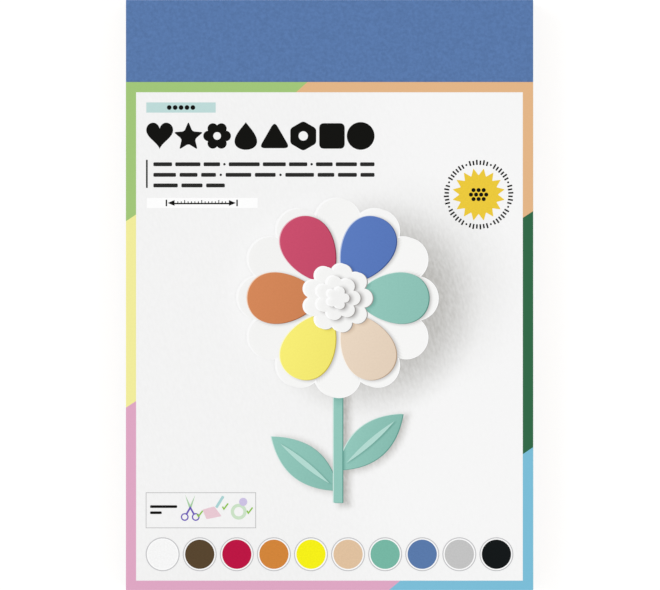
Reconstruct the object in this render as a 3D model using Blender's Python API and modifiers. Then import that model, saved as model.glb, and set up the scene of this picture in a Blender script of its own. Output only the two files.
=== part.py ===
"""A pack of craft foam sheets: flat sheets of soft EVA foam rubber, one of each colour, lying squarely on
each other, under a printed cover card that leaves a strip of the uppermost sheet bare.

Units are metres and +Z is up. The origin is the centre of the pack's footprint, on the surface that the
pack lies on. +X runs across the sheets and +Y along them, towards the bare strip.
"""

import bpy

# Foam sheets
SHEET_WIDTH = 0.200
SHEET_LENGTH = 0.290
SHEET_THICKNESS = 0.002
SHEET_GAP = 0.0002  # air between sheets that are not quite flat
CUT_EDGE_ROUND = 0.0002  # the knife leaves the soft foam's edges a little rounded
CUT_EDGE_SEGMENTS = 2

# The sheets from the bottom of the pack to its top, each with its colour as an sRGB hex value
SHEETS = (
    ("foam_sheet_grey", "C3C3C3"),
    ("foam_sheet_black", "15191A"),
    ("foam_sheet_white", "F6F6F6"),
    ("foam_sheet_brown", "584630"),
    ("foam_sheet_crimson", "BC1744"),
    ("foam_sheet_orange", "D2853B"),
    ("foam_sheet_yellow", "F6F019"),
    ("foam_sheet_beige", "E0C19F"),
    ("foam_sheet_teal", "76B7A4"),
    ("foam_sheet_blue", "5979AB"),
)
FOAM_ROUGHNESS = 0.85

# Cover card, as wide as the sheets and flush with their lower end
CARD_LENGTH = 0.2496
CARD_THICKNESS = 0.0003
CARD_GAP = 0.0002  # air between the card and the sheet under it
CARD_COLOUR = "F3F3F3"
CARD_ROUGHNESS = 0.45


def clear_scene():
    for obj in list(bpy.data.objects):
        bpy.data.objects.remove(obj, do_unlink=True)


def linear(hex_colour):
    """An sRGB hex value as the linear colour that a shader takes."""
    channels = [int(hex_colour[i : i + 2], 16) / 255 for i in (0, 2, 4)]
    return [c / 12.92 if c <= 0.04045 else ((c + 0.055) / 1.055) ** 2.4 for c in channels] + [1.0]


def plain_material(name, hex_colour, roughness):
    material = bpy.data.materials.new(name)
    material.use_nodes = True
    shader = material.node_tree.nodes["Principled BSDF"]
    shader.inputs["Base Color"].default_value = linear(hex_colour)
    shader.inputs["Roughness"].default_value = roughness
    shader.inputs["Metallic"].default_value = 0.0
    return material


def add_slab(name, size, centre, material, pack):
    """A flat rectangular piece of the given size, carried by the pack's empty."""
    bpy.ops.mesh.primitive_cube_add(size=1.0)
    slab = bpy.context.active_object
    slab.name = name
    slab.data.name = name
    slab.scale = size
    bpy.ops.object.transform_apply(location=False, rotation=False, scale=True)
    slab.location = centre
    slab.parent = pack
    slab.data.materials.append(material)
    return slab


def round_cut_edges(sheet):
    bevel = sheet.modifiers.new("cut_edges", "BEVEL")
    bevel.width = CUT_EDGE_ROUND
    bevel.segments = CUT_EDGE_SEGMENTS
    bevel.limit_method = "NONE"


def add_foam_sheets(pack):
    """Stacks the sheets from the floor up and returns the height of the uppermost face."""
    size = (SHEET_WIDTH, SHEET_LENGTH, SHEET_THICKNESS)
    underside = 0.0
    for name, hex_colour in SHEETS:
        foam = plain_material(name, hex_colour, FOAM_ROUGHNESS)
        sheet = add_slab(name, size, (0.0, 0.0, underside + SHEET_THICKNESS / 2), foam, pack)
        round_cut_edges(sheet)
        top = underside + SHEET_THICKNESS
        underside = top + SHEET_GAP
    return top


def add_cover_card(pack, stack_top):
    """Lays the card on the uppermost sheet, its lower end flush with the sheets' lower end."""
    centre_y = (CARD_LENGTH - SHEET_LENGTH) / 2
    centre_z = stack_top + CARD_GAP + CARD_THICKNESS / 2
    board = plain_material("cover_card", CARD_COLOUR, CARD_ROUGHNESS)
    add_slab(
        "cover_card",
        (SHEET_WIDTH, CARD_LENGTH, CARD_THICKNESS),
        (0.0, centre_y, centre_z),
        board,
        pack,
    )


def gather(pack):
    """Moves the pack's objects into a collection of their own."""
    collection = bpy.data.collections.new("craft_foam_sheet_pack")
    bpy.context.scene.collection.children.link(collection)
    for obj in [pack, *pack.children]:
        for holder in list(obj.users_collection):
            holder.objects.unlink(obj)
        collection.objects.link(obj)


def build():
    clear_scene()
    pack = bpy.data.objects.new("pack_origin", None)
    bpy.context.scene.collection.objects.link(pack)
    stack_top = add_foam_sheets(pack)
    add_cover_card(pack, stack_top)
    gather(pack)


build()
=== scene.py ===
"""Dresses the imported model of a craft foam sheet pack: ten soft foam sheets under a printed cover card.

Units are metres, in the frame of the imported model. The pack lies on the floor with its printed face up,
+X runs across the sheets and +Y along them, towards the strip of foam that the card leaves bare.
"""

import collections
import math
import random

import bmesh
import bpy
import numpy as np
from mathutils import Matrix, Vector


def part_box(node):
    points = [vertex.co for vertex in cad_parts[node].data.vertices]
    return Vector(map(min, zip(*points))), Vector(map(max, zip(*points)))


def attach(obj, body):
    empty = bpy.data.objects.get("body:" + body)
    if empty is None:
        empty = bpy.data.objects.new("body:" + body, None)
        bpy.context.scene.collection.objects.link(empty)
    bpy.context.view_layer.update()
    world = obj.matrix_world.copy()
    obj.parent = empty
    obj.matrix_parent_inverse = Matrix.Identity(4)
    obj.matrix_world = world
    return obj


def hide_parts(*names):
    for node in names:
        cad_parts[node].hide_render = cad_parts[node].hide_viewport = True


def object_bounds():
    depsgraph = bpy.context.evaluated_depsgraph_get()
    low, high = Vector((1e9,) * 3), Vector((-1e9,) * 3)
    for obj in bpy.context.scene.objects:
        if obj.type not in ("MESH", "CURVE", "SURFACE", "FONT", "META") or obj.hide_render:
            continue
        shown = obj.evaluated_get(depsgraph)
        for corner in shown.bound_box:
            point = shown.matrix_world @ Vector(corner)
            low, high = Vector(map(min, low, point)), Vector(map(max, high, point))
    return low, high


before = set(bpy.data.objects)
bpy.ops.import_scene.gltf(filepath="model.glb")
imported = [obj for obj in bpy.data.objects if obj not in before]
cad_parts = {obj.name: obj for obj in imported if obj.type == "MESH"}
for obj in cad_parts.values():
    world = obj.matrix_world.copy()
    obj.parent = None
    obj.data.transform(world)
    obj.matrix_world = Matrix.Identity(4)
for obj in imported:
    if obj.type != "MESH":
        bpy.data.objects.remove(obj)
cad_low, cad_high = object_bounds()

# Foam sheets
# Ten sheets of closed-cell EVA foam rubber, one of each colour. The foam is rolled out, so its faces have
# a matt, faintly mottled skin, and it is cut by a steel rule, which opens the cells at the edges. The
# sheets lie loose on each other, so each is a little uneven and a hair off square.
MM = 0.001
FOAM_SHEETS = (
    ("cut_foam_grey", "foam_sheet_grey", "foam_grey", "C3C3C3"),
    ("cut_foam_black", "foam_sheet_black", "foam_black", "15191A"),
    ("cut_foam_white", "foam_sheet_white", "foam_white", "F6F6F6"),
    ("cut_foam_brown", "foam_sheet_brown", "foam_brown", "584630"),
    ("cut_foam_crimson", "foam_sheet_crimson", "foam_crimson", "BC1744"),
    ("cut_foam_orange", "foam_sheet_orange", "foam_orange", "D2853B"),
    ("cut_foam_yellow", "foam_sheet_yellow", "foam_yellow", "F6F019"),
    ("cut_foam_beige", "foam_sheet_beige", "foam_beige", "E0C19F"),
    ("cut_foam_teal", "foam_sheet_teal", "foam_teal", "76B7A4"),
    ("cut_foam_blue", "foam_sheet_blue", "foam_blue", "5979AB"),
)
TOP_SHEET = len(FOAM_SHEETS) - 1
SHEET_CELL = 4 * MM  # the mesh's own cells, fine enough for a sheet to be uneven
RIM_ROUND = 0.35 * MM
WAVE_HEIGHT = 0.16 * MM  # less than the 0.2 mm of air between sheets
WAVE_LENGTH = 70 * MM
LAY_SHIFT = 0.12 * MM
LAY_SHIFT_BELOW = 0.03 * MM  # more for each sheet that lies on it
LAY_TURN = math.radians(0.04)
EVA_IOR = 1.49
SKIN_MOTTLE = 1.6 * MM  # some five times as coarse as the cells under the skin, or it would not show
SKIN_GRAIN = 0.35 * MM
SKIN_GLOSS = 0.0066  # the white light that the skin's gloss adds to its colour
CUT_CELL = 0.45 * MM  # drawn wider than the real cells of 0.2 to 0.3 mm, or they would not show


def linear(hex_colour, brightness=1.0, gloss=0.0):
    """An sRGB hex value as the linear colour that a shader takes. It can be made lighter or darker, and
    less by the white light that the surface's own gloss adds to it."""
    channels = [int(hex_colour[i : i + 2], 16) / 255 for i in (0, 2, 4)]
    light = [c / 12.92 if c <= 0.04045 else ((c + 0.055) / 1.055) ** 2.4 for c in channels]
    return [min(max(c * brightness - gloss, 0.0), 1.0) for c in light] + [1.0]


def add_node(tree, kind, settings, inputs):
    """Adds a shader node. An input takes a value, or another node's output as a link."""
    node = tree.nodes.new("ShaderNode" + kind)
    for name, value in settings.items():
        setattr(node, name, value)
    for name, value in inputs.items():
        if isinstance(value, bpy.types.NodeSocket):
            tree.links.new(value, node.inputs[name])
        else:
            node.inputs[name].default_value = value
    return node


def new_surface(name, ior, roughness, specular):
    """A new material for a plain unmetallic surface, with its node tree and its shader."""
    material = bpy.data.materials.new(name)
    material.use_nodes = True
    tree = material.node_tree
    shader = tree.nodes["Principled BSDF"]
    shader.inputs["IOR"].default_value = ior
    shader.inputs["Roughness"].default_value = roughness
    shader.inputs["Specular IOR Level"].default_value = specular
    return material, tree, shader


def foam_skin(name, hex_colour):
    """EVA foam's rolled skin: matt, faintly mottled by the cells under it, with a fine soft grain."""
    material, tree, skin = new_surface(name, EVA_IOR, roughness=0.85, specular=0.2)
    place = add_node(tree, "TexCoord", {}, {}).outputs["Object"]
    cells = add_node(
        tree, "TexNoise", {}, {"Vector": place, "Scale": 1 / SKIN_MOTTLE, "Detail": 2.0, "Roughness": 0.6}
    )
    mottle = add_node(
        tree, "MapRange", {}, {"Value": cells.outputs["Fac"], "From Min": 0.3, "From Max": 0.7}
    )
    dark, pale = linear(hex_colour, 0.91, SKIN_GLOSS), linear(hex_colour, 1.09, SKIN_GLOSS)
    colour = add_node(
        tree, "Mix", {"data_type": "RGBA"}, {0: mottle.outputs["Result"], 6: dark, 7: pale}
    )
    tree.links.new(colour.outputs[2], skin.inputs["Base Color"])
    grain = add_node(tree, "TexNoise", {}, {"Vector": place, "Scale": 1 / SKIN_GRAIN, "Detail": 1.0})
    relief = add_node(
        tree, "Bump", {}, {"Height": grain.outputs["Fac"], "Strength": 0.5, "Distance": 0.03 * MM}
    )
    tree.links.new(relief.outputs["Normal"], skin.inputs["Normal"])
    return material


def foam_cut(name, hex_colour):
    """EVA foam's cut edge: the same colour, open cells of half a millimetre with relief and painted shade
    in their hollows, no skin, so fully matt.
    """
    material, tree, cut = new_surface(name, EVA_IOR, roughness=0.95, specular=0.15)
    place = add_node(tree, "TexCoord", {}, {}).outputs["Object"]
    cells = add_node(tree, "TexVoronoi", {}, {"Vector": place, "Scale": 1 / CUT_CELL})
    shaded_pores = add_node(
        tree, "MapRange", {}, {"Value": cells.outputs["Distance"], "From Min": 0.1, "From Max": 0.5}
    )
    # Painted shade: each open cell is drawn darker towards its middle, where its hollow lies in shade
    dark, pale = linear(hex_colour, 0.72), linear(hex_colour, 1.02)
    colour = add_node(
        tree, "Mix", {"data_type": "RGBA"}, {0: shaded_pores.outputs["Result"], 6: dark, 7: pale}
    )
    tree.links.new(colour.outputs[2], cut.inputs["Base Color"])
    relief = add_node(
        tree, "Bump", {}, {"Height": shaded_pores.outputs["Result"], "Strength": 0.6, "Distance": 0.08 * MM}
    )
    tree.links.new(relief.outputs["Normal"], cut.inputs["Normal"])
    return material


def start_fresh():
    """Leaves nothing selected, because an operator acts on all that is selected."""
    bpy.ops.object.select_all(action="DESELECT")


def apply_modifiers(piece):
    """Makes the modifiers part of the mesh, in their order."""
    for modifier in list(piece.modifiers):
        bpy.ops.object.modifier_apply(modifier=modifier.name)


def apply_placement():
    """Makes the active piece's place, turn and scale part of its mesh."""
    bpy.ops.object.transform_apply(location=True, rotation=True, scale=True)


def end_edit():
    """Turns all faces outwards and leaves edit mode."""
    bpy.ops.mesh.select_all(action="SELECT")
    bpy.ops.mesh.normals_make_consistent(inside=False)
    bpy.ops.object.mode_set(mode="OBJECT")


def thicken(height):
    """In edit mode, raises a flat mesh to a closed one of the given height, and ends the edit."""
    bpy.ops.mesh.select_all(action="SELECT")
    bpy.ops.mesh.extrude_region_move(TRANSFORM_OT_translate={"value": (0.0, 0.0, height)})
    end_edit()


def cut_foam_sheet(name, node, order):
    """A fine grid raised to the foam's thickness, made a little uneven, with its cut rims rounded."""
    low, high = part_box(node)
    width, length, thickness = high - low
    start_fresh()
    bpy.ops.mesh.primitive_grid_add(
        x_subdivisions=round(width / SHEET_CELL),
        y_subdivisions=round(length / SHEET_CELL),
        size=1.0,
        location=(0.0, 0.0, low.z),
    )
    sheet = bpy.context.object
    sheet.name = sheet.data.name = name
    sheet.scale = (width, length, 1.0)
    apply_placement()
    bpy.ops.object.mode_set(mode="EDIT")
    thicken(thickness)

    waves = bpy.data.textures.new(name + "_waves", "CLOUDS")
    waves.noise_scale = WAVE_LENGTH * (1 + 0.1 * order)
    uneven = sheet.modifiers.new("uneven", "DISPLACE")
    uneven.texture = waves
    uneven.direction = "Z"
    uneven.mid_level = 0.0
    uneven.strength = WAVE_HEIGHT
    rims = sheet.modifiers.new("rims", "BEVEL")
    rims.width = RIM_ROUND
    rims.segments = 3
    rims.angle_limit = math.radians(40)
    apply_modifiers(sheet)

    if order < TOP_SHEET:
        most = LAY_SHIFT + LAY_SHIFT_BELOW * (TOP_SHEET - order)
        sheet.location = (random.uniform(-most, most), random.uniform(-most, most), 0.0)
        sheet.rotation_euler.z = random.uniform(-LAY_TURN, LAY_TURN)
        apply_placement()
    bpy.ops.object.shade_smooth_by_angle(angle=math.radians(50))
    return sheet


random.seed(10)
for order, (name, node, slot, hex_colour) in enumerate(FOAM_SHEETS):
    sheet = cut_foam_sheet(name, node, order)
    sheet.data.materials.append(foam_skin(name + "_skin", hex_colour))
    sheet.data.materials.append(foam_cut(name + "_cut_edge", hex_colour))
    for face in sheet.data.polygons:
        face.material_index = 0 if abs(face.normal.z) > 0.7 else 1
    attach(sheet, "root")
    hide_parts(node)

# Cover card
# A die-cut leaf of white cartonboard, printed in offset and sealed with a satin varnish. A border in six
# inks, which meet on slanting lines, runs round a white panel. It lies on the top sheet, flush below.
BORDER_LEFT = 5.0 * MM
BORDER_RIGHT = 5.1 * MM
BORDER_TOP = 5.05 * MM
BORDER_FOOT = 4.74 * MM
BOARD_EDGE_ROUND = 0.05 * MM
PRINT_MOTTLE = 0.8 * MM  # the flocking of fibres under the ink, not single fibres, which would not show
VARNISH_IOR = 1.5
VARNISH_ROUGHNESS = 0.4
VARNISH_GLOSS = 0.0063  # the white light that the varnish adds to the ink's colour
# Where two inks meet: the middle of the meeting line and its slope, in degrees
TOP_MEETING = (-13.64 * MM, 41.8)
FOOT_MEETING = (31.90 * MM, 39.9)
LEFT_MEETINGS = ((37.87 * MM, 33.8), (-53.70 * MM, 33.0))
RIGHT_MEETINGS = ((39.54 * MM, 33.3), (-76.43 * MM, 34.5))
CORE, WHITE, GREEN, PEACH, DARK_GREEN, LIGHT_BLUE, PINK, YELLOW = range(8)  # the card's material slots
BORDER_INKS = (
    ("border_green", "A2C77A"),
    ("border_peach", "E4B688"),
    ("border_dark_green", "346A49"),
    ("border_light_blue", "7CBED8"),
    ("border_pink", "DFA7C4"),
    ("border_yellow", "F2ED9C"),
)


def varnished_ink(name, hex_colour, unevenness=0.012, roughness=VARNISH_ROUGHNESS):
    """Offset ink under satin varnish: smooth, with the slight unevenness of ink laid on board."""
    material, tree, ink = new_surface(name, VARNISH_IOR, roughness, specular=0.1)
    place = add_node(tree, "TexCoord", {}, {}).outputs["Object"]
    fibres = add_node(tree, "TexNoise", {}, {"Vector": place, "Scale": 1 / PRINT_MOTTLE, "Detail": 2.0})
    dark = linear(hex_colour, 1 - 2 * unevenness, VARNISH_GLOSS)
    pale = linear(hex_colour, 1 + 2 * unevenness, VARNISH_GLOSS)
    colour = add_node(
        tree, "Mix", {"data_type": "RGBA"}, {0: fibres.outputs["Fac"], 6: dark, 7: pale}
    )
    tree.links.new(colour.outputs[2], ink.inputs["Base Color"])
    relief = add_node(
        tree, "Bump", {}, {"Height": fibres.outputs["Fac"], "Strength": 0.15, "Distance": 0.01 * MM}
    )
    tree.links.new(relief.outputs["Normal"], ink.inputs["Normal"])
    return material


def select_faces(piece, wanted):
    """In edit mode, selects the faces that the test wants, and no others."""
    shape = bmesh.from_edit_mesh(piece.data)
    for face in shape.faces:
        face.select = wanted(face.normal, face.calc_center_median())
    shape.select_flush(False)
    bmesh.update_edit_mesh(piece.data)


def is_printed(normal):
    """Whether a face is on the card's upper side."""
    return normal.z > 0.9


card_low, card_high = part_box("cover_card")
CARD_TOP = card_high.z
panel_left = card_low.x + BORDER_LEFT
panel_right = card_high.x - BORDER_RIGHT
panel_top = card_high.y - BORDER_TOP
panel_foot = card_low.y + BORDER_FOOT

start_fresh()
bpy.ops.mesh.primitive_cube_add(size=1.0, location=(card_low + card_high) / 2)
card = bpy.context.object
card.name = card.data.name = "card_board"
card.scale = card_high - card_low
apply_placement()
bpy.ops.object.mode_set(mode="EDIT")
bpy.ops.mesh.select_mode(type="FACE")
select_faces(card, lambda normal, middle: is_printed(normal))
bpy.ops.mesh.inset(thickness=BORDER_LEFT)
panel = bmesh.from_edit_mesh(card.data)
for corner in {vertex for face in panel.faces if face.select for vertex in face.verts}:
    corner.co.x = panel_left if corner.co.x < 0 else panel_right
    corner.co.y = panel_foot if corner.co.y < (panel_foot + panel_top) / 2 else panel_top
bmesh.update_edit_mesh(card.data)


def cut_border(middle_x, middle_y, slope, side):
    """Cuts one side of the border along a slanting line, where one ink ends and the next begins."""
    select_faces(card, lambda normal, middle: is_printed(normal) and side(middle))
    turn = math.radians(slope)
    bpy.ops.mesh.bisect(
        plane_co=(middle_x, middle_y, CARD_TOP),
        plane_no=(-math.sin(turn), math.cos(turn), 0.0),
    )


cut_border(
    TOP_MEETING[0], card_high.y - BORDER_TOP / 2, TOP_MEETING[1], lambda middle: middle.y > panel_top
)
cut_border(
    FOOT_MEETING[0], card_low.y + BORDER_FOOT / 2, FOOT_MEETING[1], lambda middle: middle.y < panel_foot
)
for height, slope in LEFT_MEETINGS:
    cut_border(card_low.x + BORDER_LEFT / 2, height, slope, lambda middle: middle.x < panel_left)
for height, slope in RIGHT_MEETINGS:
    cut_border(card_high.x - BORDER_RIGHT / 2, height, slope, lambda middle: middle.x > panel_right)
bpy.ops.object.mode_set(mode="OBJECT")
edges = card.modifiers.new("edges", "BEVEL")
edges.width = BOARD_EDGE_ROUND
edges.segments = 2
apply_modifiers(card)


def border_ink(middle):
    """Which ink covers a part of the border, going by where its middle is."""
    if middle.y > panel_top:
        return GREEN if middle.x < TOP_MEETING[0] else PEACH
    if middle.y < panel_foot:
        return PINK if middle.x < FOOT_MEETING[0] else LIGHT_BLUE
    if middle.x < panel_left:
        upper, lower = LEFT_MEETINGS
        inks = (GREEN, YELLOW, PINK)
    else:
        upper, lower = RIGHT_MEETINGS
        inks = (PEACH, DARK_GREEN, LIGHT_BLUE)
    if middle.y > upper[0]:
        return inks[0]
    return inks[1] if middle.y > lower[0] else inks[2]


def is_panel(middle):
    """Whether a place is inside the border."""
    return panel_left < middle.x < panel_right and panel_foot < middle.y < panel_top


card.data.materials.append(varnished_ink("board_core", "E9E6E0", unevenness=0.03, roughness=0.8))
card.data.materials.append(varnished_ink("bare_white_board", "F3F3F3"))
for name, hex_colour in BORDER_INKS:
    card.data.materials.append(varnished_ink(name, hex_colour))
for face in card.data.polygons:
    face.material_index = CORE
    if is_printed(face.normal):
        face.material_index = WHITE if is_panel(face.center) else border_ink(face.center)
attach(card, "root")
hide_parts("cover_card")

# Printed picture's wall
# The panel shows a photograph of a white plastered wall, on which foam cut-outs hang in soft light from
# the left. Only print: a film on the board, whose tone carries the shadows that the cut-outs cast.
INK = 0.02 * MM  # one film's thickness, thicker than real ink so that films never share a plane
WALL_CELL = 1.3 * MM  # the mesh's own cells, fine enough for the shadows' soft edges
PLASTER_STROKE = 1.3 * MM  # the width of a brush stroke, at the printed picture's scale
PLASTER_SLANT = math.radians(105)
# Light comes from the left and a little above, so shadows fall this way
SHADOW_WAY = np.array((0.95, -0.31))
HEAD_CENTRE = (4.2 * MM, -1.5 * MM)
HEAD_RADIUS = 49 * MM
HEAD_LOBES = 12
STEM_WIDTH = 4.2 * MM
STEM_FOOT = -102 * MM
LEAF_LENGTH = 42 * MM
LEAF_WIDTH = 17 * MM
LEAVES = ((-96 * MM, 141.0), (-86 * MM, 41.0))  # where each joins the stem, and its slope in degrees
# A shadow is the outline that casts it, how far it is thrown, how soft its edge is and how deep it is
Shadow = collections.namedtuple("Shadow", "outline thrown softness depth")


def point_from(x, y, turn, along, across=0.0):
    """The point that is so far along a line from x, y at the angle of turn, and so far to its left."""
    return (
        x + along * math.cos(turn) - across * math.sin(turn),
        y + along * math.sin(turn) + across * math.cos(turn),
    )


def scallop(radius, lobes, bulge=1.12):
    """The rim of a scalloped disc, as a function of the angle: equal round lobes that meet in notches."""
    share = math.pi / lobes
    lobe = radius * math.sin(share) * bulge / (1 + math.sin(share) * bulge)
    middle = radius - lobe

    def rim(angle):
        off = (angle + share) % (2 * share) - share
        across = middle * math.sin(off)
        reach = middle * math.cos(off) + math.sqrt(lobe * lobe - across * across)
        return reach * math.cos(angle), reach * math.sin(angle)

    return rim


def leaf(turn, length, width):
    """The rim of a leaf round its own middle: pointed at both ends, with round sides."""

    def rim(angle):
        along = length / 2 * math.cos(angle)
        across = width / 2 * math.sin(angle) * abs(math.sin(angle))
        return point_from(0.0, 0.0, turn, along, across)

    return rim


def strip(width, length):
    """The rim of a straight strip round its own middle. Each quarter turn runs along one side."""
    corners = ((-1, 1), (-1, -1), (1, -1), (1, 1), (-1, 1))

    def rim(angle):
        side, along = divmod(2 * angle / math.pi, 1)
        start, end = corners[int(side) % 4], corners[int(side) % 4 + 1]
        x = start[0] + (end[0] - start[0]) * along
        y = start[1] + (end[1] - start[1]) * along
        return x * width / 2, y * length / 2

    return rim


def outline(centre, rim, count):
    """A rim's points, placed round a centre."""
    points = [rim(2 * math.pi * step / count) for step in range(count)]
    return [(centre[0] + x, centre[1] + y) for x, y in points]


def distance_outside(places, rim_points):
    """How far each place lies outside a closed outline, and below zero how far inside it."""
    nearest = np.full(len(places), np.inf)
    inside = np.zeros(len(places), dtype=bool)
    rim_points = np.array(rim_points)
    for start, end in zip(rim_points, np.roll(rim_points, -1, axis=0)):
        side = end - start
        along = np.clip((places - start) @ side / (side @ side), 0.0, 1.0)
        gap = places - start - along[:, None] * side
        nearest = np.minimum(nearest, np.hypot(gap[:, 0], gap[:, 1]))
        if start[1] != end[1]:
            level = (start[1] > places[:, 1]) != (end[1] > places[:, 1])
            crossing = start[0] + (places[:, 1] - start[1]) * side[0] / side[1]
            inside ^= level & (places[:, 0] < crossing)
    return np.where(inside, -nearest, nearest)


def disc(x, y, radius, count=48):
    """A round outline."""
    return [point_from(x, y, 2 * math.pi * step / count, radius) for step in range(count)]


def print_light(piece, shadows, fall_off=0.0):
    """Gives each point of a printed piece its light, from 1 in full light to 0 in the deepest shadow. The
    light can also fall off evenly across the piece."""
    places = np.empty(len(piece.data.vertices) * 3, dtype=np.float32)
    piece.data.vertices.foreach_get("co", places)
    places = places.reshape(-1, 3)[:, :2].astype(float)
    light = np.ones(len(places))
    for shadow in shadows:
        outside = distance_outside(places - shadow.thrown * SHADOW_WAY, shadow.outline)
        shade = np.clip((shadow.softness - outside) / (2 * shadow.softness), 0.0, 1.0)
        light *= 1 - shadow.depth * shade * shade * (3 - 2 * shade)
    across = places @ SHADOW_WAY
    light -= fall_off * (across - across.min()) / np.ptp(across)
    piece.data.attributes.new("light", "FLOAT", "POINT").data.foreach_set("value", light)


def printed_picture(name, lit, shaded, grain, unevenness=0.02, stretch=1.0, slant=0.0, in_shade=0.0):
    """A photograph printed in offset under satin varnish. Its tone runs from lit to shaded by the light
    of each point, over the fine grain of what it shows. The grain can be stretched along a slant, and
    show more in the shade."""
    material, tree, ink = new_surface(name, VARNISH_IOR, VARNISH_ROUGHNESS, specular=0.1)
    place = add_node(tree, "TexCoord", {}, {}).outputs["Object"]
    light = add_node(tree, "Attribute", {"attribute_name": "light"}, {})
    turned = add_node(
        tree,
        "Mapping",
        {"vector_type": "TEXTURE"},
        {"Vector": place, "Rotation": (0.0, 0.0, slant), "Scale": (stretch, 1.0, 1.0)},
    )
    fine = add_node(
        tree, "TexNoise", {}, {"Vector": turned.outputs["Vector"], "Scale": 1 / grain, "Detail": 3.0}
    )
    centred = add_node(
        tree,
        "MapRange",
        {},
        {"Value": fine.outputs["Fac"], "From Min": 0.3, "From Max": 0.7, "To Min": -1.0, "To Max": 1.0},
    )
    depth = add_node(
        tree,
        "MapRange",
        {},
        {"Value": light.outputs["Fac"], "To Min": 2 * (unevenness + in_shade), "To Max": 2 * unevenness},
    )
    grained = add_node(
        tree,
        "Math",
        {"operation": "MULTIPLY"},
        {0: centred.outputs["Result"], 1: depth.outputs["Result"]},
    )
    tone = add_node(
        tree,
        "Math",
        {"operation": "ADD", "use_clamp": True},
        {0: light.outputs["Fac"], 1: grained.outputs["Value"]},
    )
    darkest, brightest = linear(shaded, gloss=VARNISH_GLOSS), linear(lit, gloss=VARNISH_GLOSS)
    colour = add_node(
        tree, "Mix", {"data_type": "RGBA"}, {0: tone.outputs["Value"], 6: darkest, 7: brightest}
    )
    tree.links.new(colour.outputs[2], ink.inputs["Base Color"])
    return material


def close_below(piece):
    """Gives an open flat mesh one film's thickness: its rim goes down and the underside is closed."""
    bpy.ops.object.mode_set(mode="EDIT")
    bpy.ops.mesh.select_mode(type="EDGE")
    bpy.ops.mesh.select_all(action="DESELECT")
    bpy.ops.mesh.select_non_manifold()
    bpy.ops.mesh.extrude_edges_move(TRANSFORM_OT_translate={"value": (0.0, 0.0, -INK)})
    bpy.ops.mesh.edge_face_add()
    end_edit()


def lay_on_card(piece, material):
    """Finishes a printed piece: its ink and the body that it rides on."""
    piece.data.materials.append(material)
    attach(piece, "root")


head_outline = outline(HEAD_CENTRE, scallop(HEAD_RADIUS, HEAD_LOBES), 240)
stem_top = HEAD_CENTRE[1] - 0.6 * HEAD_RADIUS
stem_middle = (HEAD_CENTRE[0], (stem_top + STEM_FOOT) / 2)
stem_rim = strip(STEM_WIDTH, stem_top - STEM_FOOT)
leaf_places = []
for height, way in LEAVES:
    turn = math.radians(way)
    leaf_middle = point_from(HEAD_CENTRE[0], height, turn, LEAF_LENGTH / 2)
    leaf_places.append((leaf_middle, leaf(turn, LEAF_LENGTH, LEAF_WIDTH)))

start_fresh()
bpy.ops.mesh.primitive_grid_add(
    x_subdivisions=round((panel_right - panel_left) / WALL_CELL),
    y_subdivisions=round((panel_top - panel_foot) / WALL_CELL),
    size=1.0,
    location=((panel_left + panel_right) / 2, (panel_foot + panel_top) / 2, CARD_TOP + INK),
)
wall = bpy.context.object
wall.name = wall.data.name = "printed_wall"
wall.scale = (panel_right - panel_left, panel_top - panel_foot, 1.0)
apply_placement()
close_below(wall)
# The flower's head hangs well in front of the wall, so its scallops are lost in the softness of its
# shadow, which has a faint far part, and its white foam throws a little light back on the side of the
# light. Its stem and leaves lie close to the wall, which is a little dimmer on the left and at its foot.
stem_outline = outline(stem_middle, stem_rim, 60)
head_disc = disc(*HEAD_CENTRE, 0.92 * HEAD_RADIUS, 96)
far_disc = disc(HEAD_CENTRE[0] + 38 * MM, HEAD_CENTRE[1] + 6 * MM, 28 * MM, 96)
left_part = disc(-300 * MM, 0.0, 330 * MM, 96)
foot_part = disc(0.0, -420 * MM, 300 * MM, 96)
wall_shadows = [
    Shadow(head_disc, thrown=15 * MM, softness=14 * MM, depth=0.6),
    Shadow(far_disc, thrown=0.0, softness=32 * MM, depth=0.45),
    Shadow(stem_outline, thrown=3.4 * MM, softness=3.6 * MM, depth=0.9),
]
for leaf_middle, leaf_rim in leaf_places:
    leaf_outline = outline(leaf_middle, leaf_rim, 80)
    wall_shadows.append(Shadow(leaf_outline, thrown=2.6 * MM, softness=3.6 * MM, depth=0.8))
wall_shadows += [
    Shadow(head_disc, thrown=-7 * MM, softness=9 * MM, depth=-0.065),
    Shadow(left_part, thrown=0.0, softness=30 * MM, depth=0.05),
    Shadow(foot_part, thrown=0.0, softness=25 * MM, depth=0.035),
]
print_light(wall, wall_shadows)
plaster = printed_picture(
    "printed_plaster",
    lit="F7F7F7",
    shaded="A8A6A1",
    grain=PLASTER_STROKE,
    unevenness=0.008,
    stretch=2.2,
    slant=PLASTER_SLANT,
    in_shade=0.06,
)
lay_on_card(wall, plaster)

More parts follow.
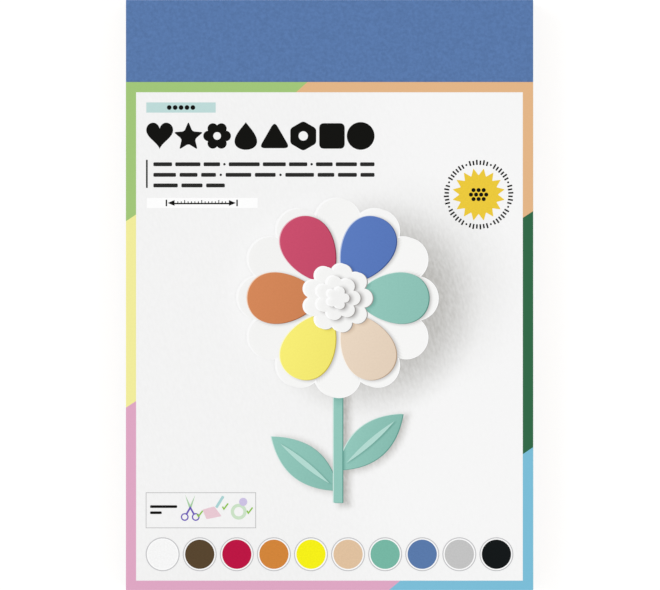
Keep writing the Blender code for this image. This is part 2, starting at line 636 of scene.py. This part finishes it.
# Printed flower
# The picture's cut-outs, in layers of foam as such a pack is used for: a white scalloped head with six
# petals, three white middles, and a stem with leaves. Each is a film of print, over a darker film and a
# lighter one that show the foam's cut edge on the side away from the light and towards it.
EDGE_SHADE_STEP = 0.5 * MM
EDGE_LIGHT_STEP = 0.5 * MM
WHITE_LIGHT_STEP = 1.3 * MM  # white foam's lit edge glares, so it looks wider
FOAM_GRAIN = 0.9 * MM  # the mottle of foam seen small in a picture, as coarse as it has to be to show
RIB_LENGTH = 31 * MM
RIB_WIDTH = 2.6 * MM
PETALS = 6
PETAL_DISTANCE = 27.5 * MM
PETAL_HALF_LENGTH = 17 * MM
PETAL_HALF_WIDTH = 12.3 * MM
PETAL_COLOURS = (
    ("crimson", "CB4F6E", "8E2A45", "E9A9B8"),
    ("orange", "D5885A", "9A5528", "F2CDB2"),
    ("yellow", "F9EF76", "C9B53A", "FFFBCB"),
    ("beige", "EAD7C2", "B79C82", "FBF3EA"),
    ("teal", "93C8BC", "4F8C80", "D3EBE4"),
    ("blue", "5C7CC0", "33508F", "B4C4E6"),
)
MIDDLES = ((17 * MM, 9), (11 * MM, 7), (5.6 * MM, 5))  # each one's radius and how many lobes it has
# Which film each cut-out starts on, counted from the card's face
LEAF_LEVEL, STEM_LEVEL, HEAD_LEVEL, PETAL_LEVEL, MIDDLE_LEVEL = 2, 5, 7, 9, 11


def petal(turn):
    """The rim of a petal round its own middle: egg-shaped, with its broad end pointing outwards."""

    def rim(angle):
        along = PETAL_HALF_LENGTH * math.cos(angle)
        across = PETAL_HALF_WIDTH * math.sin(angle) * (1 + 0.22 * math.cos(angle))
        return point_from(0.0, 0.0, turn, along, across)

    return rim


def print_ink(name, patches, level, material):
    """Prints patches of one ink as one piece. A patch is its rim's points, and after them its hole's."""
    base = CARD_TOP + (level - 1) * INK
    start_fresh()
    bpy.ops.object.add(type="MESH", location=(0.0, 0.0, 0.0))
    piece = bpy.context.object
    piece.name = piece.data.name = name
    bpy.ops.object.mode_set(mode="EDIT")
    bpy.ops.mesh.select_mode(type="VERT")
    for rims in patches:
        for rim_points in rims:
            bpy.ops.mesh.primitive_circle_add(vertices=len(rim_points), radius=MM, fill_type="NOTHING")
            shape = bmesh.from_edit_mesh(piece.data)
            for vertex, (x, y) in zip(list(shape.verts)[-len(rim_points) :], rim_points):
                vertex.co = (x, y, base)
        if len(rims) == 1:
            bpy.ops.mesh.edge_face_add()
            continue
        for vertex in list(shape.verts)[-sum(map(len, rims)) :]:
            vertex.select = True
        shape.select_flush(True)
        bpy.ops.mesh.bridge_edge_loops()
    thicken(INK)
    lay_on_card(piece, material)


def print_cut_out(name, centre, rim, level, spokes, rings):
    """A cut-out of the picture as a fine disc: a grid rolled round its centre and drawn to its rim."""
    start_fresh()
    bpy.ops.mesh.primitive_grid_add(x_subdivisions=spokes, y_subdivisions=rings, size=2.0)
    piece = bpy.context.object
    piece.name = piece.data.name = name
    for vertex in piece.data.vertices:
        x, y = rim((vertex.co.x + 1) * math.pi)
        reach = (vertex.co.y + 1) / 2
        vertex.co = (centre[0] + reach * x, centre[1] + reach * y, CARD_TOP + level * INK)
    bpy.ops.object.mode_set(mode="EDIT")
    bpy.ops.mesh.select_all(action="SELECT")
    bpy.ops.mesh.remove_doubles(threshold=0.001 * MM)
    bpy.ops.object.mode_set(mode="OBJECT")
    close_below(piece)
    return piece


def shifted(rim_points, step):
    """An outline moved along the way that shadows fall, or against it."""
    return [(x + step * SHADOW_WAY[0], y + step * SHADOW_WAY[1]) for x, y in rim_points]


def print_edges(name, rim_points, level, shade_ink, light_ink, light_step=EDGE_LIGHT_STEP):
    """The cut-out's own thickness: its edge in shade on one side and its edge in light on the other, half
    a film higher, so that the two never share a plane."""
    print_ink(name + "_edge_in_shade", [[shifted(rim_points, EDGE_SHADE_STEP)]], level, shade_ink)
    print_ink(name + "_edge_in_light", [[shifted(rim_points, -light_step)]], level + 0.5, light_ink)


teal_foam = printed_picture("printed_teal_foam", "93C8BC", "4F8C80", FOAM_GRAIN)
teal_shade = varnished_ink("printed_teal_shade", "5E9C90")
teal_light = varnished_ink("printed_teal_light", "CBE6DF")
rib_ink = varnished_ink("printed_rib", "B4DBD2")
shadow_of_stem = Shadow(stem_outline, thrown=1.2 * MM, softness=1.1 * MM, depth=0.6)
for number, (leaf_middle, leaf_rim) in enumerate(leaf_places):
    leaf_name = f"printed_leaf_{number + 1}"
    print_edges(leaf_name, outline(leaf_middle, leaf_rim, 80), LEAF_LEVEL, teal_shade, teal_light)
    blade = print_cut_out(leaf_name, leaf_middle, leaf_rim, LEAF_LEVEL + 1, spokes=80, rings=40)
    rib_rim = leaf(math.radians(LEAVES[number][1]), RIB_LENGTH, RIB_WIDTH)
    rib_outline = outline(leaf_middle, rib_rim, 60)
    shadow_of_rib = Shadow(rib_outline, thrown=0.8 * MM, softness=0.8 * MM, depth=0.5)
    print_light(blade, [shadow_of_stem, shadow_of_rib], fall_off=0.25)
    lay_on_card(blade, teal_foam)
    print_ink(f"printed_rib_{number + 1}", [[rib_outline]], LEAF_LEVEL + 2, rib_ink)
print_edges("printed_stem", stem_outline, STEM_LEVEL, teal_shade, teal_light)
stem = print_cut_out("printed_stem", stem_middle, stem_rim, STEM_LEVEL + 1, spokes=120, rings=10)
print_light(stem, [Shadow(head_outline, thrown=3.0 * MM, softness=4.0 * MM, depth=0.7)])
lay_on_card(stem, teal_foam)

white_foam = printed_picture("printed_white_foam", "F8F8F7", "949190", FOAM_GRAIN, unevenness=0.006)
white_shade = varnished_ink("printed_white_shade", "9C9896")
white_light = varnished_ink("printed_white_light", "FFFFFF")
head_light = varnished_ink("printed_head_light", "FBFBFB")
# The head's edge is bright on the side away from the light too, against the wall's shadow behind it
print_edges("printed_head", head_outline, HEAD_LEVEL, white_light, head_light, WHITE_LIGHT_STEP)
petal_places = []
for number in range(PETALS):
    turn = math.pi * (2 * number / PETALS + 1 / 2 + 1 / PETALS)
    petal_places.append((point_from(*HEAD_CENTRE, turn, PETAL_DISTANCE), petal(turn)))
head_rim = scallop(HEAD_RADIUS, HEAD_LOBES)
head = print_cut_out("printed_head", HEAD_CENTRE, head_rim, HEAD_LEVEL + 1, spokes=240, rings=84)
# Under the petals' shadows the head is a little dimmer at its upper left, and everywhere but its lit rim
head_shadows = []
for petal_middle, petal_rim in petal_places:
    petal_outline = outline(petal_middle, petal_rim, 72)
    head_shadows.append(Shadow(petal_outline, thrown=1.3 * MM, softness=1.5 * MM, depth=0.75))
upper_left_part = disc(HEAD_CENTRE[0] - 150 * MM, 60 * MM, 150 * MM, 96)
head_shadows.append(Shadow(upper_left_part, thrown=0.0, softness=40 * MM, depth=0.05))
head_shadows.append(Shadow(head_outline, thrown=1.4 * MM, softness=MM, depth=0.015))
print_light(head, head_shadows)
lay_on_card(head, white_foam)

middle_rims = [scallop(radius, lobes) for radius, lobes in MIDDLES]
middle_outlines = [outline(HEAD_CENTRE, rim, 12 * lobes) for rim, (_, lobes) in zip(middle_rims, MIDDLES)]
shadow_on_petals = Shadow(middle_outlines[0], thrown=1.5 * MM, softness=1.4 * MM, depth=0.6)
for (petal_middle, petal_rim), (colour_name, lit, shaded, edge_lit) in zip(petal_places, PETAL_COLOURS):
    petal_name = "printed_petal_" + colour_name
    shade_ink = varnished_ink(petal_name + "_shade", shaded)
    light_ink = varnished_ink(petal_name + "_light", edge_lit)
    print_edges(petal_name, outline(petal_middle, petal_rim, 96), PETAL_LEVEL, shade_ink, light_ink)
    petal_face = print_cut_out(petal_name, petal_middle, petal_rim, PETAL_LEVEL + 1, spokes=96, rings=30)
    print_light(petal_face, [shadow_on_petals], fall_off=0.15)
    lay_on_card(petal_face, printed_picture(petal_name, lit, shaded, FOAM_GRAIN))

for number, (radius, lobes) in enumerate(MIDDLES):
    middle_name = f"printed_middle_{number + 1}"
    level = MIDDLE_LEVEL + 2 * number
    print_edges(middle_name, middle_outlines[number], level, white_shade, white_light, WHITE_LIGHT_STEP)
    middle_face = print_cut_out(
        middle_name,
        HEAD_CENTRE,
        middle_rims[number],
        level + 1,
        spokes=24 * lobes,
        rings=round(radius / (0.5 * MM)),
    )
    middle_shadows = []
    if number + 1 < len(MIDDLES):
        next_outline = middle_outlines[number + 1]
        middle_shadows.append(Shadow(next_outline, thrown=1.3 * MM, softness=2.0 * MM, depth=0.97))
    dimming = 0.04 + 0.02 * number
    middle_shadows.append(Shadow(middle_outlines[number], thrown=1.4 * MM, softness=MM, depth=dimming))
    print_light(middle_face, middle_shadows)
    lay_on_card(middle_face, white_foam)

# Headings
# The head of the panel: a teal bar with dots, a row of black punched shapes, and three lines of small
# bars and bullets beside a rule. All of it is flat print in solid ink.
GROUND_LEVEL, MARK_LEVEL = 2, 3  # the films of flat print, counted from the card's face
SMALL_PRINT_LEFT = -86.5 * MM
SMALL_PRINT_RIGHT = 22.1 * MM
SMALL_PRINT_HEIGHT = 1.9 * MM
BULLET = 1.2 * MM
# Each line's height, the widths of its bars in millimetres, with 0 for a bullet, and where it ends
SMALL_PRINT = (
    (64.2 * MM, (9.2, 12.4, 8.1, 0, 15.2, 11.3, 9.0, 0, 8.2, 10.4, 7.1), SMALL_PRINT_RIGHT),
    (59.0 * MM, (11.1, 8.8, 7.3, 0, 12.6, 10.2, 0, 14.1, 8.2, 9.3, 6.9), SMALL_PRINT_RIGHT),
    (53.8 * MM, (12.0, 10.4, 9.2), -51.4 * MM),
)
TITLE_LEFT = -90.2 * MM
TITLE_RIGHT = 22.1 * MM
TITLE_MIDDLE = 78.1 * MM
TITLE_HALF = 6.8 * MM
TITLE_CURVE_POINTS = 64
TEAL_BAR_MIDDLE = 92.06 * MM
BAR_DOTS_MIDDLE = -72.9 * MM
BAR_DOT_PITCH = 2.9 * MM
BAR_DOT_RADIUS = 1.15 * MM


def rounded(corners, reach, steps=5):
    """A closed outline with round corners, each from a reach before the corner to a reach after it."""
    points = []
    for index, corner in enumerate(corners):
        corner = np.array(corner)
        ends = []
        for neighbour in (corners[index - 1], corners[(index + 1) % len(corners)]):
            way = np.array(neighbour) - corner
            ends.append(corner + way * min(reach / np.linalg.norm(way), 0.499))
        for step in range(steps + 1):
            share = step / steps
            rest = 1 - share
            point = rest * rest * ends[0] + 2 * share * rest * corner + share * share * ends[1]
            points.append(tuple(point))
    return points


def bar(left, right, middle, height, reach=0.0):
    """A level bar's outline, with its corners rounded if asked."""
    low, high = middle - height / 2, middle + height / 2
    corners = [(left, low), (right, low), (right, high), (left, high)]
    return rounded(corners, reach) if reach else corners


def star(x, y, outer, inner, points, first=90.0):
    """A star's corners, its tips and notches by turns, the first tip at the given angle."""
    corners = []
    for step in range(2 * points):
        reach = inner if step % 2 else outer
        corners.append(point_from(x, y, math.radians(first + 180 * step / points), reach))
    return corners


def regular(x, y, radius, sides, first=90.0):
    """A regular polygon's corners, the first one at the given angle."""
    turns = [math.radians(first + 360 * side / sides) for side in range(sides)]
    return [point_from(x, y, turn, radius) for turn in turns]


def heart(x, y, half):
    """The common heart curve. It spans 16 each way across and from -17 to 12 up, and is fitted to half."""
    points = []
    for step in range(TITLE_CURVE_POINTS):
        turn = 2 * math.pi * step / TITLE_CURVE_POINTS
        across = 16 * math.sin(turn) ** 3
        up = 13 * math.cos(turn) - 5 * math.cos(2 * turn) - 2 * math.cos(3 * turn) - math.cos(4 * turn)
        points.append((x + half * across / 16.5, y + half * (up + 2.5) / 15))
    return points


def drop(x, y, half):
    """A drop with its point up: a circle drawn narrow towards its top."""
    points = []
    for step in range(TITLE_CURVE_POINTS):
        turn = 2 * math.pi * step / TITLE_CURVE_POINTS
        across = math.sin(turn) * math.sin(turn / 2) ** 1.3
        points.append((x + 1.12 * half * across, y + half * math.cos(turn)))
    return points


black_ink = varnished_ink("solid_black_ink", "151513")
pitch = (TITLE_RIGHT - TITLE_LEFT - 2 * TITLE_HALF) / 7
places = [TITLE_LEFT + TITLE_HALF + pitch * step for step in range(8)]
# A star and a triangle reach further up than down, so their centres lie a little low
star_corners = star(places[1], TITLE_MIDDLE - 0.5 * MM, 1.12 * TITLE_HALF, 3.4 * MM, points=5)
bloom = outline((places[2], TITLE_MIDDLE), scallop(TITLE_HALF, 6, bulge=1.25), 60)
triangle = regular(places[4], TITLE_MIDDLE - 1.6 * MM, 1.3 * TITLE_HALF, sides=3)
nut = rounded(regular(places[5], TITLE_MIDDLE, 1.08 * TITLE_HALF, sides=6), 1.4 * MM, steps=9)
square = regular(places[6], TITLE_MIDDLE, 1.3 * TITLE_HALF, sides=4, first=45.0)
title_shapes = [
    [heart(places[0], TITLE_MIDDLE, TITLE_HALF)],
    [rounded(star_corners, 1.2 * MM)],
    [bloom, disc(places[2], TITLE_MIDDLE, 1.9 * MM, len(bloom))],
    [drop(places[3], TITLE_MIDDLE, TITLE_HALF)],
    [rounded(triangle, 3.0 * MM)],
    [nut, disc(places[5], TITLE_MIDDLE, 2.3 * MM, len(nut))],
    [rounded(square, 2.4 * MM)],
    [disc(places[7], TITLE_MIDDLE, TITLE_HALF)],
]
print_ink("printed_title_shapes", title_shapes, GROUND_LEVEL, black_ink)

teal_bar = bar(left=-89.95 * MM, right=-55.9 * MM, middle=TEAL_BAR_MIDDLE, height=5.0 * MM)
print_ink("printed_teal_bar", [[teal_bar]], GROUND_LEVEL, varnished_ink("teal_bar_ink", "BEDBD9"))
bar_dots = []
for step in range(-2, 3):
    dot_x = BAR_DOTS_MIDDLE + BAR_DOT_PITCH * step
    bar_dots.append([disc(dot_x, TEAL_BAR_MIDDLE, BAR_DOT_RADIUS, 32)])
print_ink("printed_bar_dots", bar_dots, MARK_LEVEL, black_ink)

rule = bar(left=-90.1 * MM, right=-89.3 * MM, middle=59.5 * MM, height=13.8 * MM)
print_ink("printed_rule", [[rule]], GROUND_LEVEL, varnished_ink("rule_ink", "1C1C1B"))
small_print = []
for height, words, end in SMALL_PRINT:
    widths = [word * MM if word else BULLET for word in words]
    gap = (end - SMALL_PRINT_LEFT - sum(widths)) / (len(words) - 1)
    left = SMALL_PRINT_LEFT
    for word, width in zip(words, widths):
        if word:
            small_print.append([bar(left, left + width, height, SMALL_PRINT_HEIGHT, 0.6 * MM)])
        else:
            small_print.append([disc(left + BULLET / 2, height, BULLET / 2, 24)])
        left += width + gap
small_ink = varnished_ink("small_print_ink", "2C2C2B")
print_ink("printed_small_lines", small_print, GROUND_LEVEL, small_ink)

# Size bar
# A white bar with a black dimension line between arrowheads and stops, as on a drawing. It is flat print
# in solid ink, and its line, heads and ticks are one outline.
SIZE_BAR_MIDDLE = 45.2 * MM
ARROW_LEFT = -79.5 * MM
ARROW_RIGHT = -46.0 * MM
ARROW_HEAD = 3.4 * MM
ARROW_HEAD_HALF = 1.4 * MM
LINE_TOP = SIZE_BAR_MIDDLE + 0.05 * MM
LINE_FOOT = SIZE_BAR_MIDDLE - 0.65 * MM
TICK_SPACES = 20  # in the arrow's whole length, with ticks on those between the heads
TICK_HALF = 0.22 * MM
TICK_TOP = SIZE_BAR_MIDDLE + 0.8 * MM
FIFTH_TICK_TOP = SIZE_BAR_MIDDLE + 1.4 * MM
STOP_GAP = 0.6 * MM
STOP_HALF = 0.35 * MM

size_bar = bar(left=-89.7 * MM, right=-35.3 * MM, middle=SIZE_BAR_MIDDLE, height=4.95 * MM)
print_ink("printed_size_bar", [[size_bar]], GROUND_LEVEL, varnished_ink("size_bar_ink", "FFFFFF"))
left_back, right_back = ARROW_LEFT + ARROW_HEAD, ARROW_RIGHT - ARROW_HEAD
head_top, head_foot = SIZE_BAR_MIDDLE + ARROW_HEAD_HALF, SIZE_BAR_MIDDLE - ARROW_HEAD_HALF
arrow = [(ARROW_LEFT, SIZE_BAR_MIDDLE), (left_back, head_foot), (left_back, LINE_FOOT)]
arrow += [(right_back, LINE_FOOT), (right_back, head_foot), (ARROW_RIGHT, SIZE_BAR_MIDDLE)]
arrow += [(right_back, head_top), (right_back, LINE_TOP)]
for step in range(TICK_SPACES - 3, 2, -1):
    tick = ARROW_LEFT + (ARROW_RIGHT - ARROW_LEFT) * step / TICK_SPACES
    tick_top = TICK_TOP if step % 5 else FIFTH_TICK_TOP
    arrow += [(tick + TICK_HALF, LINE_TOP), (tick + TICK_HALF, tick_top)]
    arrow += [(tick - TICK_HALF, tick_top), (tick - TICK_HALF, LINE_TOP)]
arrow += [(left_back, LINE_TOP), (left_back, head_top)]
arrow_patches = [[arrow]]
for stop in (ARROW_LEFT - STOP_GAP, ARROW_RIGHT + STOP_GAP):
    arrow_patches.append([bar(stop - STOP_HALF, stop + STOP_HALF, SIZE_BAR_MIDDLE, 3.2 * MM)])
print_ink("printed_size_arrow", arrow_patches, MARK_LEVEL, black_ink)

# Count badge
# A yellow starburst of 16 points with ten dots, one for each sheet of the pack, inside a ring of black
# ticks. It is flat print in solid inks, the yellow one laid less evenly than the black.
BADGE_X = 73.2 * MM
BADGE_Y = 49.3 * MM
BURST_POINTS = 16
BURST_TIPS = 13.05 * MM
BURST_NOTCHES = 9.45 * MM
DOT_RADIUS = 1.0 * MM
DOT_PITCH = 2.5 * MM
DOT_ROW_PITCH = 2.2 * MM
RING_GROUPS = 8  # of ticks, with a dot after each
GROUP_TICKS = 6
RING_TICK_STEP = 6.2  # degrees
RING_TICK_WIDTH = 0.8 * MM
RING_TICK_START = 14.6 * MM
RING_TICK_ENDS = (16.75 * MM, 17.1 * MM)  # by turns
RING_DOT_DISTANCE = 15.7 * MM
RING_DOT_RADIUS = 0.5 * MM

first_tip = 90.0 + 180 / BURST_POINTS
burst = star(BADGE_X, BADGE_Y, BURST_TIPS, BURST_NOTCHES, BURST_POINTS, first_tip)
burst_ink = varnished_ink("starburst_ink", "ECCA3D", unevenness=0.04)
print_ink("printed_starburst", [[rounded(burst, 0.35 * MM, steps=2)]], GROUND_LEVEL, burst_ink)
count_dots = []
for row, dots in ((1, 3), (0, 4), (-1, 3)):
    for step in range(dots):
        dot_x = BADGE_X + DOT_PITCH * (step - (dots - 1) / 2)
        count_dots.append([disc(dot_x, BADGE_Y + DOT_ROW_PITCH * row, DOT_RADIUS, 32)])
print_ink("printed_count_dots", count_dots, MARK_LEVEL, black_ink)

badge_ring = []
for group in range(RING_GROUPS):
    for step in range(GROUP_TICKS):
        turn = math.radians(360 * group / RING_GROUPS + RING_TICK_STEP * (step - (GROUP_TICKS - 1) / 2))
        tick = bar(RING_TICK_START, RING_TICK_ENDS[step % 2], 0.0, RING_TICK_WIDTH)
        badge_ring.append([[point_from(BADGE_X, BADGE_Y, turn, *corner) for corner in tick]])
    turn = math.radians(360 * (group + 0.5) / RING_GROUPS)
    dot_x, dot_y = point_from(BADGE_X, BADGE_Y, turn, RING_DOT_DISTANCE)
    badge_ring.append([disc(dot_x, dot_y, RING_DOT_RADIUS, 16)])
print_ink("printed_badge_ring", badge_ring, GROUND_LEVEL, black_ink)

# Use box
# A thin grey frame round two short lines and three small pictograms, of scissors, a sheet being glued
# and a punched ring, each with a green tick. All of it is flat print in solid inks.
BOX_LEFT = -90.25 * MM
BOX_RIGHT = -36.1 * MM
BOX_MIDDLE = -105.7 * MM
BOX_HEIGHT = 17.6 * MM
FRAME_WIDTH = 0.35 * MM
BOX_LINE_LEFT = -88.1 * MM
BOX_LINES = ((-74.8 * MM, -103.9 * MM), (-82.4 * MM, -106.9 * MM))  # each one's end and its middle
# The scissors' open blades, and below them the arms, each as one outline in millimetres round the pivot
PIVOT_X = -68.4 * MM
PIVOT_Y = -104.4 * MM
BLADES = ((-2.5, 6.3), (-0.6, 0.0), (0.6, 0.0), (2.5, 6.3), (0.0, 1.2))
ARMS = ((-2.2, -3.0), (-1.5, -3.4), (0.0, -0.8), (1.5, -3.4), (2.2, -3.0), (0.0, 0.8))
FINGER_RING_APART = 2.7 * MM
FINGER_RING_BELOW = 4.6 * MM
GLUED_SHEET = ((-62.4, -105.4), (-56.6, -103.8), (-53.0, -108.6), (-60.4, -110.1))
STICK_X = -53.9 * MM
STICK_Y = -101.6 * MM
STICK_TURN = math.radians(58)
PUNCHED_X = -44.6 * MM
PUNCHED_Y = -106.4 * MM
TICK_PLACES = ((-63.9, -108.0), (-51.4, -104.4), (-39.4, -106.4))
TICK = ((-1.4, 0.3), (-0.5, -1.3), (1.9, 1.9), (1.3, 2.2), (-0.5, -0.2), (-0.9, 0.7))

box_outer = bar(BOX_LEFT, BOX_RIGHT, BOX_MIDDLE, BOX_HEIGHT)
box_inner = bar(
    BOX_LEFT + FRAME_WIDTH, BOX_RIGHT - FRAME_WIDTH, BOX_MIDDLE, BOX_HEIGHT - 2 * FRAME_WIDTH
)
frame_ink = varnished_ink("box_frame_ink", "BEBEBE")
print_ink("printed_box_frame", [[box_outer, box_inner]], GROUND_LEVEL, frame_ink)
box_lines = [[bar(BOX_LINE_LEFT, end, middle, 1.3 * MM, reach=0.5 * MM)] for end, middle in BOX_LINES]
print_ink("printed_box_lines", box_lines, GROUND_LEVEL, black_ink)


def drawn(x, y, corners):
    """An outline whose corners are given in millimetres round a place."""
    return [(x + across * MM, y + up * MM) for across, up in corners]


finger_rings = []
for ring_x in (PIVOT_X - FINGER_RING_APART, PIVOT_X + FINGER_RING_APART):
    ring_y = PIVOT_Y - FINGER_RING_BELOW
    finger_rings.append([disc(ring_x, ring_y, 1.9 * MM, 32), disc(ring_x, ring_y, 1.3 * MM, 32)])
blades, arms = drawn(PIVOT_X, PIVOT_Y, BLADES), drawn(PIVOT_X, PIVOT_Y, ARMS)
blade_ink = varnished_ink("scissor_blade_ink", "A8CFA4")
handle_ink = varnished_ink("scissor_handle_ink", "6A55B8")
print_ink("printed_scissor_blades", [[blades]], GROUND_LEVEL, blade_ink)
print_ink("printed_scissor_rings", finger_rings, MARK_LEVEL, handle_ink)
print_ink("printed_scissor_arms", [[arms]], MARK_LEVEL + 1, handle_ink)

glued_sheet = rounded(drawn(0.0, 0.0, GLUED_SHEET), 0.4 * MM, steps=3)
level_stick = bar(left=-3.3 * MM, right=3.3 * MM, middle=0.0, height=1.3 * MM, reach=0.3 * MM)
glue_stick = [point_from(STICK_X, STICK_Y, STICK_TURN, *corner) for corner in level_stick]
sheet_ink = varnished_ink("glued_sheet_ink", "E9C9D3")
print_ink("printed_glued_sheet", [[glued_sheet]], GROUND_LEVEL, sheet_ink)
print_ink("printed_glue_stick", [[glue_stick]], MARK_LEVEL, varnished_ink("glue_stick_ink", "A9D3D3"))

punched = [disc(PUNCHED_X, PUNCHED_Y, 3.9 * MM, 40), disc(PUNCHED_X, PUNCHED_Y, 2.3 * MM, 40)]
punched_ink = varnished_ink("punched_ring_ink", "CBE2C6")
print_ink("printed_punched_ring", [punched], GROUND_LEVEL, punched_ink)
fallen_disc = disc(-42.4 * MM, -101.6 * MM, 2.0 * MM, 32)
disc_ink = varnished_ink("punched_disc_ink", "CDC2E4")
print_ink("printed_punched_disc", [[fallen_disc]], MARK_LEVEL, disc_ink)

ticks = [[drawn(x * MM, y * MM, TICK)] for x, y in TICK_PLACES]
print_ink("printed_ticks", ticks, MARK_LEVEL + 2, varnished_ink("tick_ink", "8BC43A"))

# Colour row
# Ten round samples along the foot of the panel, one for each sheet's colour, each in a thin grey ring
# with a white ground, printed from photographs of the foam.
SAMPLE_PITCH = 18.21 * MM
SAMPLE_MIDDLE = -127.3 * MM
SAMPLE_RADIUS = 7.18 * MM
SAMPLE_RING = 8.06 * MM
SAMPLE_RING_WIDTH = 0.5 * MM
SAMPLES = (
    ("white", "F8F8F8"),
    ("brown", "584630"),
    ("crimson", "BC1744"),
    ("orange", "D2853B"),
    ("yellow", "F6F019"),
    ("beige", "E0C19F"),
    ("teal", "76B7A4"),
    ("blue", "5A7AAB"),
    ("grey", "C3C3C3"),
    ("black", "15191A"),
)
sample_places = [SAMPLE_PITCH * (step - 4.5) for step in range(len(SAMPLES))]
grounds = [[disc(x, SAMPLE_MIDDLE, SAMPLE_RING, 96)] for x in sample_places]
print_ink("printed_sample_grounds", grounds, GROUND_LEVEL, varnished_ink("sample_ground_ink", "FCFCFC"))
rings = []
for x in sample_places:
    outer = disc(x, SAMPLE_MIDDLE, SAMPLE_RING + SAMPLE_RING_WIDTH / 2, 96)
    rings.append([outer, disc(x, SAMPLE_MIDDLE, SAMPLE_RING - SAMPLE_RING_WIDTH / 2, 96)])
print_ink("printed_sample_rings", rings, MARK_LEVEL, varnished_ink("sample_ring_ink", "C4C4C6"))
for x, (name, hex_colour) in zip(sample_places, SAMPLES):
    sample = disc(x, SAMPLE_MIDDLE, SAMPLE_RADIUS, 96)
    sample_ink = varnished_ink("sample_ink_" + name, hex_colour, unevenness=0.05)
    print_ink("printed_sample_" + name, [[sample]], MARK_LEVEL, sample_ink)

# Floor and light
# A plain pale floor that glows, so that it looks as white as the sky behind it. The sky is brightest at
# the horizon, like a light tent, and two broad suns from opposite sides light the pack.
FLOOR_SIZE = 40.0
FLOOR_BELOW = 0.1 * MM
# Each sun's name, the way that it shines from and its strength
SUNS = (
    ("key_sun", (-1.0, 0.3, 1.05), 0.65),
    ("fill_sun", (1.0, -0.3, 1.05), 0.37),
)
SUN_BREADTH = math.radians(30)

start_fresh()
bpy.ops.mesh.primitive_plane_add(size=FLOOR_SIZE, location=(0.0, 0.0, -FLOOR_BELOW))
floor = bpy.context.object
floor.name = floor.data.name = "studio_floor"
apply_placement()
floor_paint = bpy.data.materials.new("white_floor_paint")
floor_paint.use_nodes = True
paint = floor_paint.node_tree.nodes["Principled BSDF"]
paint.inputs["Base Color"].default_value = linear("A0A0A0")
paint.inputs["Roughness"].default_value = 0.9
paint.inputs["Specular IOR Level"].default_value = 0.1
paint.inputs["Emission Color"].default_value = (1.0, 1.0, 1.0, 1.0)
paint.inputs["Emission Strength"].default_value = 0.715
floor.data.materials.append(floor_paint)

sky = bpy.data.worlds.new("light_tent")
bpy.context.scene.world = sky
sky.use_nodes = True
sky_tree = sky.node_tree
sky_light = sky_tree.nodes["Background"]
way = add_node(sky_tree, "TexCoord", {}, {})
height = add_node(sky_tree, "SeparateXYZ", {}, {"Vector": way.outputs["Generated"]})
glow = add_node(
    sky_tree,
    "MapRange",
    {},
    {"Value": height.outputs["Z"], "From Min": 0.0, "From Max": 0.35, "To Min": 1.0, "To Max": 0.762},
)
sky_tree.links.new(glow.outputs["Result"], sky_light.inputs["Strength"])
sky_light.inputs["Color"].default_value = (1.0, 1.0, 1.0, 1.0)

for sun_name, place, strength in SUNS:
    sun_data = bpy.data.lights.new(sun_name, "SUN")
    sun_data.energy = strength
    sun_data.angle = SUN_BREADTH
    sun = bpy.data.objects.new(sun_name, sun_data)
    bpy.context.scene.collection.objects.link(sun)
    sun.location = place
    sun.rotation_euler = sun.location.to_track_quat("Z", "Y").to_euler()

# Camera
# It looks straight down on the printed face with a long lens, as over a copy stand, and the pack's length
# just fills the height of the frame.
PHOTO_WIDTH = 660
PHOTO_HEIGHT = 590
LENS = 300.0
SENSOR = 36.0
CENTRE_OFFSET = 0.23 * MM  # how far right of the pack's middle the photograph is centred
CUT_OFF = 0.999  # how much of the pack's length the frame holds, as the photograph cuts its ends off
camera_data = bpy.data.cameras.new("photo_camera")
camera_data.lens = LENS
camera_data.sensor_width = SENSOR
camera = bpy.data.objects.new("photo_camera", camera_data)
bpy.context.scene.collection.objects.link(camera)
seen_width = CUT_OFF * (cad_high.y - cad_low.y) * PHOTO_WIDTH / PHOTO_HEIGHT
camera.location = (CENTRE_OFFSET, 0.0, CARD_TOP + seen_width * LENS / SENSOR)
bpy.context.scene.camera = camera
bpy.context.scene.view_settings.view_transform = "Standard"
